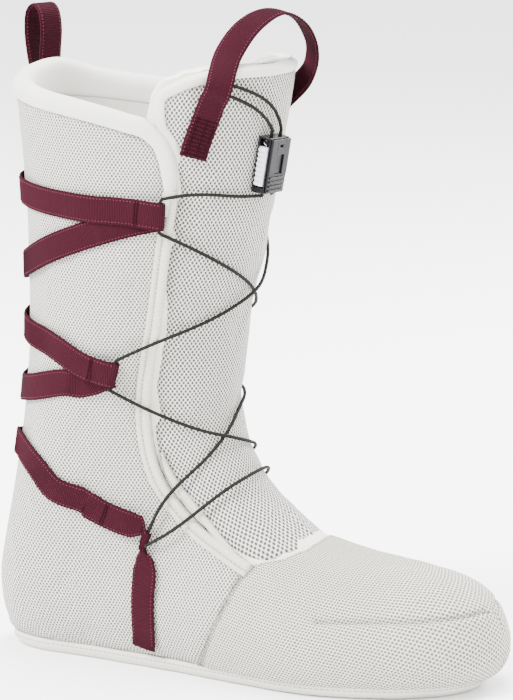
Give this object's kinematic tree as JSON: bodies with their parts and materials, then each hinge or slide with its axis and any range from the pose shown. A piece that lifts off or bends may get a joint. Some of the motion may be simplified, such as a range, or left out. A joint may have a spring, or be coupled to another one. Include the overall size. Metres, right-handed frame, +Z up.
{
  "type": "snowboard boot liner",
  "caption": "Padded inner boot with a hinging tongue, webbing straps, a speed lace with a sliding lock, and two webbing pull loops.",
  "frame": {"origin": "the middle of the flat sole under the ankle, on the ground", "axes": "+X towards the toe, +Z up the shaft, -Y the outer side of the right foot"},
  "size_m": [0.2806, 0.1186, 0.3439],
  "materials": {
    "mesh_cloth": "ivory open spacer mesh",
    "smooth_cloth": "smooth ivory padded cloth",
    "lining_cloth": "soft light grey lining",
    "satin_tape": "ribbed satin tape",
    "foam": "matt closed-cell foam",
    "sole_board": "matt sole sheet",
    "stiffener": "plain moulded sheet",
    "webbing": "burgundy ribbed webbing",
    "cord": "black braided cord",
    "lock_black": "black moulded plastic",
    "lock_white": "white moulded plastic",
    "spring_steel": "drawn wire"
  },
  "bodies": {
    "liner": {"ankle_pad_lateral": "foam", "ankle_pad_medial": "foam", "collar_roll": "smooth_cloth", "foam_bootie": "foam", "footbed": "foam", "heel_counter": "stiffener", "insole_board": "stiffener", "lace": "cord", "lining": "lining_cloth", "lower_strap_lateral": "webbing", "lower_strap_medial": "webbing", "middle_strap_lateral": "webbing", "middle_strap_medial": "webbing", "outsole": "sole_board", "quarter_lateral": "mesh_cloth", "quarter_medial": "mesh_cloth", "quarter_tape_lateral": "satin_tape", "quarter_tape_medial": "satin_tape", "rear_loop_tab": "webbing", "sole_rand": "smooth_cloth", "upper_strap_lateral": "webbing", "upper_strap_medial": "webbing", "vamp_lateral": "mesh_cloth", "vamp_medial": "mesh_cloth", "vamp_top": "mesh_cloth"},
    "tongue": {"tongue_face": "mesh_cloth", "tongue_foam": "foam", "tongue_lining": "lining_cloth", "tongue_pull_patch_lateral": "webbing", "tongue_pull_patch_medial": "webbing"},
    "tongue_loop": {"tongue_pull_loop": "webbing"},
    "lock": {"lace_lock_case": "lock_black", "lace_lock_cover": "lock_black", "lace_lock_spring": "spring_steel"},
    "lock_slider": {"lace_lock_slider": "lock_white"},
    "rear_loop": {"rear_pull_loop": "webbing"}
  },
  "joints": [
    {"name": "tongue_hinge", "type": "hinge", "parent": "liner", "child": "tongue", "pos_m": [0.102, -0.005, 0.074], "axis": [0, 1, 0], "range_deg": [0, 30], "stiffness_Nm_per_rad": 0.4, "deforming": ["lace"]},
    {"name": "lock_slide", "type": "slide", "parent": "tongue", "child": "lock", "axis": [0.1639, 0.0027, 0.9865], "range_m": [0, 0.014]},
    {"name": "slider_press", "type": "slide", "parent": "lock", "child": "lock_slider", "axis": [0.1639, 0.0027, 0.9865], "range_m": [0, 0.003], "stiffness_N_per_m": 150, "springref_m": -0.001, "deforming": ["lace_lock_spring"]},
    {"name": "tongue_loop_fold", "type": "hinge", "parent": "tongue", "child": "tongue_loop", "pos_m": [0.05344, -0.04131, 0.29229], "axis": [-0.006, 0.9972, -0.0748], "range_deg": [0, 25], "stiffness_Nm_per_rad": 0.01},
    {"name": "rear_loop_fold", "type": "hinge", "parent": "liner", "child": "rear_loop", "pos_m": [-0.07073, 0.02205, 0.2883], "axis": [-0.4147, -0.91, 0], "range_deg": [0, 70], "stiffness_Nm_per_rad": 0.01}
  ]
}
